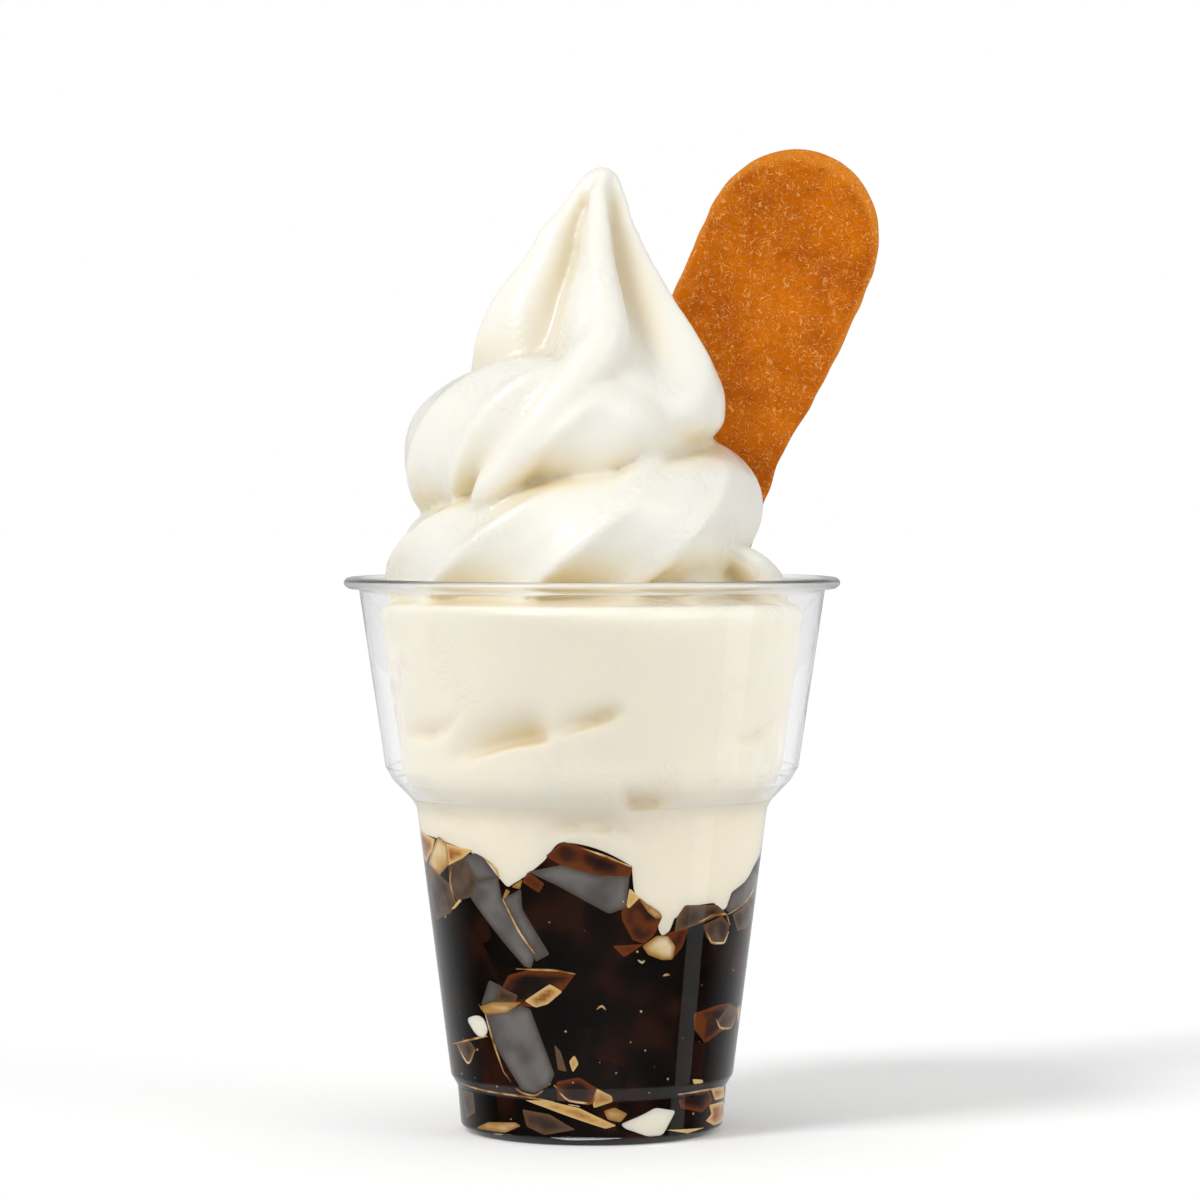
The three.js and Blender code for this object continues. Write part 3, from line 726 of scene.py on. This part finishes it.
# The ridge of the first turn that climbs over into the second one, at the front right.
CLIMB = [
    (-6.0, -31.0, 112.0, 1.2),
    (-0.4, -30.2, 117.0, 2.6),
    (5.5, -27.0, 122.0, 3.2),
    (10.0, -22.8, 126.0, 2.8),
    (13.0, -17.6, 129.4, 1.6),
    (14.0, -12.5, 132.0, 0.8),
]
# The small curl where the rope's beginning shows above the rim at the right.
CURL = [
    (25.0, -18.0, 112.0, 1.5),
    (29.5, -15.5, 108.5, 3.4),
    (32.5, -12.0, 104.5, 4.2),
    (34.0, -6.0, 99.5, 3.0),
]


def folded(point):
    """A point of the fill's skin in metres, drawn in where a fold leaves the wall, front and back."""
    side = FOLD_RADIUS * math.remainder(math.atan2(point.y, point.x) + math.pi / 2, math.pi)
    depth = 0.0
    for edge, fade_left, fade_right, deepest, most in FOLDS:
        share = (side - edge[0][0]) / (edge[-1][0] - edge[0][0])
        if 0 < share < 1:
            above = point.z / MM - along(edge, side)[0]
            fade = fade_left + (fade_right - fade_left) * share
            hollow = smoothstep(above, 0, FOLD_LIP) * math.exp(-((above / fade) ** 2))
            depth = max(depth, most * hollow * along([(0, 0), (deepest, 1), (1, 0)], share)[0])
    outward = Vector((point.x, point.y, 0)).normalized()
    return point - outward * depth * MM


def crest(phase, narrow, lean):
    """1 on a ridge's crest and 0 in the groove beside it; a ridge can be narrow and lean to a side."""
    phase += narrow * math.sin(phase) + lean * (1 - math.cos(phase))
    return 1 - abs(math.sin(phase / 2)) ** RIDGE_SHARPNESS


def rope_centre(turn):
    """The middle of the rope after so many degrees of winding."""
    reach, height, _, _, shift, _ = along(ROPE, turn)
    angle = math.radians(turn)
    return Vector((shift + reach * math.cos(angle), reach * math.sin(angle), height))


def rope_frame(turn):
    """What every point of the rope's section needs: its middle, its two axes and its sizes."""
    ahead = (rope_centre(turn + ROPE_LOOK) - rope_centre(turn - ROPE_LOOK)).normalized()
    out = Vector((math.cos(math.radians(turn)), math.sin(math.radians(turn)), 0))
    out = (out - ahead * out.dot(ahead)).normalized()
    reach, _, wide, tall, _, twist = along(ROPE, turn)
    twist = math.radians(ROPE_RIDGE_START + twist)
    return rope_centre(turn), out, out.cross(ahead), reach, wide, tall, twist


rope_frames = {}


def rope_place(share_along, share_round):
    """A point of the rope's ridged skin."""
    turn = ROPE[0][0] + share_along * (ROPE[-1][0] - ROPE[0][0])
    if turn not in rope_frames:
        rope_frames[turn] = rope_frame(turn)
    centre, out, up, reach, wide, tall, twist = rope_frames[turn]
    around = math.tau * share_round
    angle = around + twist
    uneven = 1 - ROPE_RIDGE_UNEVEN * (
        1 - math.sin(around + ROPE_UNEVEN_START + ROPE_UNEVEN_DRIFT * math.radians(turn))
    )
    pressed = smoothstep(math.sin(angle), ROPE_PRESSED_FROM, ROPE_PRESSED_TO)
    depth = along(ROPE_GROOVES, turn)[0] * uneven * (1 - pressed)
    groove = 1 - crest(ROPE_RIDGES * around, ROPE_RIDGE_NARROW, 0)
    size = 1 + depth * (ROPE_RIDGE_SWELL - groove)
    across = wide if math.cos(angle) > 0 else min(wide, reach - ROPE_HUB)
    return (centre + out * size * across * math.cos(angle) + up * size * tall * math.sin(angle)) * MM


def peak_place(share_up, share_round):
    """A point of the pulled peak's ridged skin."""
    height = PEAK[0][0] + share_up * (PEAK[-1][0] - PEAK[0][0])
    half, shift, twist, ridge = along(PEAK, height)
    around = math.tau * share_round
    angle = around + math.radians(PEAK_RIDGE_START + twist)
    groove = 1 - crest(PEAK_RIDGES * around, PEAK_RIDGE_NARROW, PEAK_RIDGE_LEAN)
    radius = half * (1 + PEAK_RIDGE_SWELL - ridge * groove)
    return Vector((shift + radius * math.cos(angle), radius * math.sin(angle), height)) * MM


# Soft serve is milk and air: light goes a little way in, so it is soft white, and its grooves and creases
# get a painted cream yellow shade;
# it has a wet, finely crinkled gloss where it has begun to melt.
GROOVE_SHADE_MM = 11.0
PIPED_FROM = 97.0
PIPED_TO = 106.0
CRINKLE_MM = 1.3
CRINKLE_PATCH_MM = 16.0
WET_SPOT_MM = 7.0
WET_CORE_MM = WET_SPOT_MM / 3
WET_SPOTS = [
    (-6.0, -20.0, 152.0),
    (14.0, -20.0, 144.0),
    (20.0, -15.0, 136.0),
    (26.0, -22.0, 113.0),
    (18.5, -29.0, 117.0),
    (22.0, -20.0, 130.0),
]
vanilla, tree, shader = finish("vanilla_soft_serve", {
    "Roughness": 0.3,
    "IOR": 1.4,
    "Coat Roughness": 0.1,
    "Subsurface Weight": 0.5,
    "Subsurface Radius": (1.0, 0.75, 0.45),
    "Subsurface Scale": 2.2 * MM,
})
# Painted shade: where the swirl's own skin closes round a point, in its grooves and creases, the colour
# goes to a shaded beige.
groove = add(tree, "ShaderNodeAmbientOcclusion", {"Distance": GROOVE_SHADE_MM * MM}, samples=4, only_local=True)
unshaded_share = add(tree, "ShaderNodeMapRange", {
    "Value": groove.outputs["AO"], "From Min": 0.4, "From Max": 0.96,
})
place = add(tree, "ShaderNodeTexCoord", {})
level = add(tree, "ShaderNodeSeparateXYZ", {"Vector": place.outputs["Object"]})
piped = add(tree, "ShaderNodeMapRange", {
    "Value": level.outputs["Z"], "From Min": PIPED_FROM * MM, "From Max": PIPED_TO * MM,
})
open_milk = add(tree, "ShaderNodeMix", {
    "Factor": piped.outputs["Result"], 6: linear("#f7efdd"), 7: linear("#fbf7ec"),
}, data_type="RGBA")
milk_with_painted_shade = add(tree, "ShaderNodeMix", {
    "Factor": unshaded_share.outputs["Result"], 6: linear("#e4d2a4"), 7: open_milk.outputs[2],
}, data_type="RGBA")
tree.links.new(milk_with_painted_shade.outputs[2], shader.inputs["Base Color"])
crinkle = add(tree, "ShaderNodeTexNoise", {
    "Vector": place.outputs["Object"], "Scale": 1 / (CRINKLE_MM * MM), "Detail": 3.0,
})
patch = add(tree, "ShaderNodeTexNoise", {
    "Vector": place.outputs["Object"], "Scale": 1 / (CRINKLE_PATCH_MM * MM), "Detail": 2.0,
})
wet_patch = add(tree, "ShaderNodeMapRange", {
    "Value": patch.outputs["Fac"], "From Min": 0.5, "From Max": 0.62,
})
wet = wet_patch.outputs["Result"]
for spot in WET_SPOTS:
    away = add(tree, "ShaderNodeVectorMath", {
        0: place.outputs["Object"], 1: Vector(spot) * MM,
    }, operation="DISTANCE")
    near = add(tree, "ShaderNodeMapRange", {
        "Value": away.outputs["Value"], "From Min": WET_SPOT_MM * MM, "From Max": WET_CORE_MM * MM,
    })
    wetter = add(tree, "ShaderNodeMath", {0: wet, 1: near.outputs["Result"]}, operation="MAXIMUM")
    wet = wetter.outputs["Value"]
glossy = add(tree, "ShaderNodeMapRange", {"Value": wet, "To Min": 0.15, "To Max": 0.8})
tree.links.new(glossy.outputs["Result"], shader.inputs["Coat Weight"])
crinkled = add(tree, "ShaderNodeMapRange", {"Value": wet, "To Min": 0.02, "To Max": 0.6})
skin_relief = add(tree, "ShaderNodeBump", {
    "Height": crinkle.outputs["Fac"], "Strength": crinkled.outputs["Result"], "Distance": 0.6 * MM,
})
tree.links.new(skin_relief.outputs["Normal"], shader.inputs["Normal"])
tree.links.new(skin_relief.outputs["Normal"], shader.inputs["Coat Normal"])

fill = spun(FILL, FILL_STEPS)
for i in range(FOLD_RINGS):
    everything = list(fill.verts) + list(fill.edges) + list(fill.faces)
    ring = (0, 0, (FOLDS_FROM + i * FOLD_RING_PITCH) * MM)
    bmesh.ops.bisect_plane(fill, geom=everything, plane_co=ring, plane_no=(0, 0, 1))
for vert in fill.verts:
    vert.co = folded(vert.co)
swirl = joined([
    fill,
    spun(HEART, HEART_STEPS),
    wrapped(*ROPE_STEPS, rope_place),
    wrapped(*PEAK_STEPS, peak_place),
    bead(RIDGE, *RIDGE_STEPS),
    bead(CLIMB, *CLIMB_STEPS),
    bead(CURL, *CURL_STEPS),
])
soft_serve = piece_of(swirl, "soft_serve_swirl", vanilla)
skin = soft_serve.modifiers.new("one_skin", "REMESH")
skin.mode = "VOXEL"
skin.voxel_size = SKIN_VOXEL * MM
skin.use_smooth_shade = True
settle = soft_serve.modifiers.new("settled", "SMOOTH")
settle.iterations = SETTLE_ROUNDS
settle.factor = SETTLE_SHARE
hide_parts("soft_serve")

# The drips: soft serve that has run down between the blocks and smeared on the wall, each a thin
# rounded smear that lies on the wall over the jelly.
DRIP_RISE = 0.4
DRIP_CORNER = 1.4
DRIPS = [
    [(-27.5, 23), (-24.5, 24), (-22.3, 23.8), (-21, 21), (-22.8, 19.6), (-24.7, 20.2)],
    [(5.3, 4.2), (9.8, 5.9), (12.2, 7), (16.7, 6.1), (14.3, 2.4), (13.5, 1.6), (10.7, 1.6), (6.2, 3.3)],
]
smears = all_round([wall_chunk(outline, DRIP_RISE, DRIP_CORNER) for outline in DRIPS])
drips = piece_of(smears, "soft_serve_drips", vanilla)

# The biscuit: a flat oblong butter biscuit, rolled thin, cut with round ends, baked golden and
# glazed; it is pushed into the back of the swirl and leans right and back.
BISCUIT_LENGTH = 96.0
BISCUIT_HALF_WIDTH = 17.3
BISCUIT_THICKNESS = 3.5
BISCUIT_END = 19.4
BISCUIT_WAIST = 0.12
BISCUIT_WAIST_AT = -12.0
BISCUIT_WAIST_SPAN = 14.0
BISCUIT_TILT = 24
BISCUIT_LEAN = 7
BISCUIT_CENTRE = (27.4, 23.8, 144.7)
BISCUIT_SQUARENESS = 0.22
BISCUIT_BLISTER = 0.22
BISCUIT_BLISTER_MM = 4.5
BISCUIT_PIT = 0.09
BISCUIT_PIT_MM = 1.1
BISCUIT_WAVER = 0.5
BISCUIT_WAVER_MM = 5.0
BISCUIT_RIM = 1.6
BISCUIT_END_THINNING = 1.6
BISCUIT_STEPS = (220, 160)


def biscuit_place(share_along, share_round):
    """A point of the biscuit's skin: flat faces, a rounded rim and round ends."""
    half = BISCUIT_LENGTH / 2
    up = -half * math.cos(math.pi * share_along)
    into_end = min(1.0, max(0.0, abs(up) - half + BISCUIT_END) / BISCUIT_END)
    waist = BISCUIT_WAIST * math.exp(-(((up - BISCUIT_WAIST_AT) / BISCUIT_WAIST_SPAN) ** 2))
    round_end = math.sqrt(1 - into_end ** 2)
    angle = math.tau * share_round
    side = math.copysign(abs(math.cos(angle)) ** BISCUIT_SQUARENESS, math.cos(angle))
    face = math.copysign(abs(math.sin(angle)) ** (2 * BISCUIT_SQUARENESS), math.sin(angle))
    thick = BISCUIT_THICKNESS / 2 * min(1.0, BISCUIT_END_THINNING * math.sqrt(round_end))
    waver = BISCUIT_WAVER * noise.noise(Vector((math.copysign(1.0, side), 0, up)) / BISCUIT_WAVER_MM)
    half_width = (BISCUIT_HALF_WIDTH * (1 - waist) + waver) * round_end
    place = Vector((half_width * side, -thick * face, up))
    swell = BISCUIT_BLISTER * noise.noise(place / BISCUIT_BLISTER_MM)
    swell += BISCUIT_PIT * noise.noise(place / BISCUIT_PIT_MM)
    return (place + Vector((0, -math.copysign(swell * abs(face), face), 0))) * MM


biscuit_shape = wrapped(*BISCUIT_STEPS, biscuit_place)
rim = biscuit_shape.verts.layers.float.new("rim")
for vert in biscuit_shape.verts:
    corner = math.hypot(vert.co.x, max(0, abs(vert.co.z) - (BISCUIT_LENGTH / 2 - BISCUIT_END) * MM))
    vert[rim] = smoothstep(corner / MM, BISCUIT_HALF_WIDTH - BISCUIT_RIM, BISCUIT_HALF_WIDTH)
lean = Euler((-math.radians(BISCUIT_LEAN), math.radians(BISCUIT_TILT), 0)).to_matrix().to_4x4()
lean.translation = Vector(BISCUIT_CENTRE) * MM
bmesh.ops.transform(biscuit_shape, matrix=lean, verts=biscuit_shape.verts)

# Baked dough under a sugar glaze: golden brown in drifts, paler along the rim, with a fine crumb whose
# lines have a painted shade on one side and a painted glint on the other.
# They are drawn a little coarser than life so that they show.
BROWNING_MM = 11.0
CRUMB_MM = 1.5
CRUMB_LINE_FROM = 0.004
CRUMB_LINE_TO = 0.024
# Each side, a painted shade and then a painted glint: its level in the crumb's pattern, its colour and how
# much of it shows.
CRUMB_PAINTED_SHADE_AND_GLINT = [(0.45, "#8f4203", 0.4), (0.5, "#f6c27a", 0.5)]
baked, tree, shader = finish("baked_glazed_biscuit", {"Roughness": 0.3, "Specular IOR Level": 0.05})
place = add(tree, "ShaderNodeTexCoord", {})
browning = add(tree, "ShaderNodeTexNoise", {
    "Vector": place.outputs["Object"], "Scale": 1 / (BROWNING_MM * MM), "Detail": 5.0, "Roughness": 0.65,
})
browned = add(tree, "ShaderNodeMapRange", {
    "Value": browning.outputs["Fac"], "From Min": 0.36, "From Max": 0.62,
})
crust = add(tree, "ShaderNodeMix", {
    "Factor": browned.outputs["Result"], 6: linear("#b05504"), 7: linear("#d37108"),
}, data_type="RGBA")
edge = add(tree, "ShaderNodeAttribute", {}, attribute_name="rim")
rimmed = add(tree, "ShaderNodeMix", {
    "Factor": edge.outputs["Fac"], 6: crust.outputs[2], 7: linear("#d98022"),
}, data_type="RGBA")
crumb = add(tree, "ShaderNodeTexNoise", {
    "Vector": place.outputs["Object"], "Scale": 1 / (CRUMB_MM * MM), "Detail": 1.0, "Distortion": 1.2,
})
shade = rimmed.outputs[2]
# Each crumb line paints a shade on its dark side and a glint on its pale side.
for middle, colour, most in CRUMB_PAINTED_SHADE_AND_GLINT:
    off = add(tree, "ShaderNodeMath", {0: crumb.outputs["Fac"], 1: middle}, operation="SUBTRACT")
    off = add(tree, "ShaderNodeMath", {0: off.outputs["Value"]}, operation="ABSOLUTE")
    line = add(tree, "ShaderNodeMapRange", {
        "Value": off.outputs["Value"], "From Min": CRUMB_LINE_FROM, "From Max": CRUMB_LINE_TO,
        "To Min": most, "To Max": 0.0,
    })
    shade = add(tree, "ShaderNodeMix", {
        "Factor": line.outputs["Result"], 6: shade, 7: linear(colour),
    }, data_type="RGBA").outputs[2]
tree.links.new(shade, shader.inputs["Base Color"])
crumb_relief = add(tree, "ShaderNodeBump", {
    "Height": crumb.outputs["Fac"], "Strength": 0.7, "Distance": 0.5 * MM,
})
tree.links.new(crumb_relief.outputs["Normal"], shader.inputs["Normal"])
biscuit = piece_of(biscuit_shape, "butter_biscuit", baked)
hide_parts("biscuit")

# The stage: a plain pale floor in a white studio, seen from where the dessert is shown. Shiny things
# mirror the studio as dark in front and bright behind, so that clear and dark ones keep their depth.
FLOOR_SIZE = 16.0
STRIP_WIDTH = 0.3
STRIP_HEIGHT = 1.8
STRIP_PLACE = (1.06, -0.17, 0.0)
STRIP_TURN = (math.radians(90), 0, math.radians(75))
STUDIO_LIGHT = 0.56
STUDIO_WALL = 1.0
STUDIO_THROUGH_CLEAR = 0.9
STUDIO_ON_CONTENTS_FRONT = 1.0
STUDIO_ON_CONTENTS_SIDES = 3.6
STUDIO_MIRRORED = 0.6
STUDIO_MIRRORED_FRONT = 0.03
# Each lamp: its name, its strength, how wide it looks in degrees, and where it shines from.
LAMPS = (
    ("key_light", 1.3, 16, (-0.62, -0.6, 0.9)),
    ("side_light", 0.38, 30, (0.85, -0.55, 0.45)),
)


def stage_sheet(name, material, width, depth, place, turn):
    """A flat sheet of the stage, turned about its middle and then set in its place."""
    shape = bmesh.new()
    bmesh.ops.create_grid(shape, x_segments=1, y_segments=1, size=0.5)
    bmesh.ops.scale(shape, vec=(width, depth, 1), verts=shape.verts)
    bmesh.ops.rotate(shape, cent=(0, 0, 0), matrix=Euler(turn).to_matrix(), verts=shape.verts)
    bmesh.ops.translate(shape, vec=place, verts=shape.verts)
    mesh = bpy.data.meshes.new(name)
    shape.to_mesh(mesh)
    shape.free()
    mesh.materials.append(material)
    sheet = bpy.data.objects.new(name, mesh)
    bpy.context.scene.collection.objects.link(sheet)
    return sheet


# White paper, matt and evenly lit, so that the floor runs into the studio's wall without an edge.
paper, tree, shader = finish("white_paper", {
    "Base Color": linear("#fbfbfb"),
    "Roughness": 0.8,
    "Specular IOR Level": 0.0,
    "Emission Color": linear("#ffffff"),
    "Emission Strength": 0.15,
})
strip_lamp, tree, shader = finish("strip_light", {
    "Base Color": linear("#000000"),
    "Emission Color": linear("#ffffff"),
    "Emission Strength": 0.55,
})
floor = stage_sheet("floor", paper, FLOOR_SIZE, FLOOR_SIZE, (0, 0, 0), (0, 0, 0))
floor.visible_glossy = False
strip = stage_sheet("strip_light", strip_lamp, STRIP_WIDTH, STRIP_HEIGHT, STRIP_PLACE, STRIP_TURN)
strip.visible_camera = False
strip.visible_transmission = False
strip.visible_diffuse = False
strip.visible_shadow = False

world = bpy.data.worlds.new("studio")
bpy.context.scene.world = world
world.use_nodes = True
studio = world.node_tree
sky = studio.nodes["Background"]
ray = add(studio, "ShaderNodeLightPath", {})
looking = add(studio, "ShaderNodeTexCoord", {})
split = add(studio, "ShaderNodeSeparateXYZ", {"Vector": looking.outputs["Generated"]})
behind = add(studio, "ShaderNodeMapRange", {
    "Value": split.outputs["Y"], "From Min": 0.0, "From Max": 1.0,
    "To Min": STUDIO_MIRRORED_FRONT, "To Max": STUDIO_MIRRORED,
}, interpolation_type="SMOOTHSTEP")
steep = add(studio, "ShaderNodeMath", {0: split.outputs["Z"]}, operation="ABSOLUTE")
overhead = add(studio, "ShaderNodeMapRange", {
    "Value": steep.outputs["Value"], "From Min": 0.3, "From Max": 0.7,
    "To Min": STUDIO_MIRRORED_FRONT, "To Max": STUDIO_MIRRORED,
}, interpolation_type="SMOOTHSTEP")
mirrored = add(studio, "ShaderNodeMath", {
    0: behind.outputs["Result"], 1: overhead.outputs["Result"],
}, operation="MAXIMUM")
lit = add(studio, "ShaderNodeMix", {
    "Factor": ray.outputs["Is Glossy Ray"], "A": STUDIO_LIGHT, "B": mirrored.outputs["Value"],
})
from_contents = add(studio, "ShaderNodeMath", {
    0: ray.outputs["Diffuse Depth"], 1: 0.5,
}, operation="GREATER_THAN")
sideways = add(studio, "ShaderNodeMath", {0: split.outputs["X"]}, operation="ABSOLUTE")
on_contents = add(studio, "ShaderNodeMapRange", {
    "Value": sideways.outputs["Value"],
    "To Min": STUDIO_ON_CONTENTS_FRONT, "To Max": STUDIO_ON_CONTENTS_SIDES,
})
through = add(studio, "ShaderNodeMix", {
    "Factor": from_contents.outputs["Value"], "A": STUDIO_THROUGH_CLEAR, "B": on_contents.outputs["Result"],
})
clear = add(studio, "ShaderNodeMix", {
    "Factor": ray.outputs["Is Transmission Ray"],
    "A": lit.outputs["Result"], "B": through.outputs["Result"],
})
seen = add(studio, "ShaderNodeMix", {
    "Factor": ray.outputs["Is Camera Ray"], "A": clear.outputs["Result"], "B": STUDIO_WALL,
})
studio.links.new(seen.outputs["Result"], sky.inputs["Strength"])
sky.inputs["Color"].default_value = linear("#ffffff")

for name, energy, angle, source in LAMPS:
    lamp = bpy.data.lights.new(name, "SUN")
    lamp.angle = math.radians(angle)
    lamp.energy = energy
    light = bpy.data.objects.new(name, lamp)
    light.rotation_mode = "QUATERNION"
    light.rotation_quaternion = (-Vector(source)).to_track_quat("-Z", "Y")
    bpy.context.scene.collection.objects.link(light)

CAMERA_DISTANCE = 919.0
CAMERA_HEIGHT = 127.4
CAMERA_SIDE = 1.53
PHOTO_PIXELS = 1200
PIXELS_PER_MM = 5.22
AIM_HEIGHT = 101.6
SENSOR_WIDTH = 36.0
camera_data = bpy.data.cameras.new("camera")
camera_data.sensor_width = SENSOR_WIDTH
camera_data.lens = SENSOR_WIDTH * CAMERA_DISTANCE / (PHOTO_PIXELS / PIXELS_PER_MM)
camera_data.clip_start = 0.05
camera = bpy.data.objects.new("camera", camera_data)
camera.location = Vector((CAMERA_SIDE, -CAMERA_DISTANCE, CAMERA_HEIGHT)) * MM
aim = Vector((CAMERA_SIDE, 0, AIM_HEIGHT)) * MM
camera.rotation_mode = "QUATERNION"
camera.rotation_quaternion = (aim - camera.location).to_track_quat("-Z", "Y")
bpy.context.scene.collection.objects.link(camera)
bpy.context.scene.camera = camera
bpy.context.scene.view_settings.view_transform = "Standard"
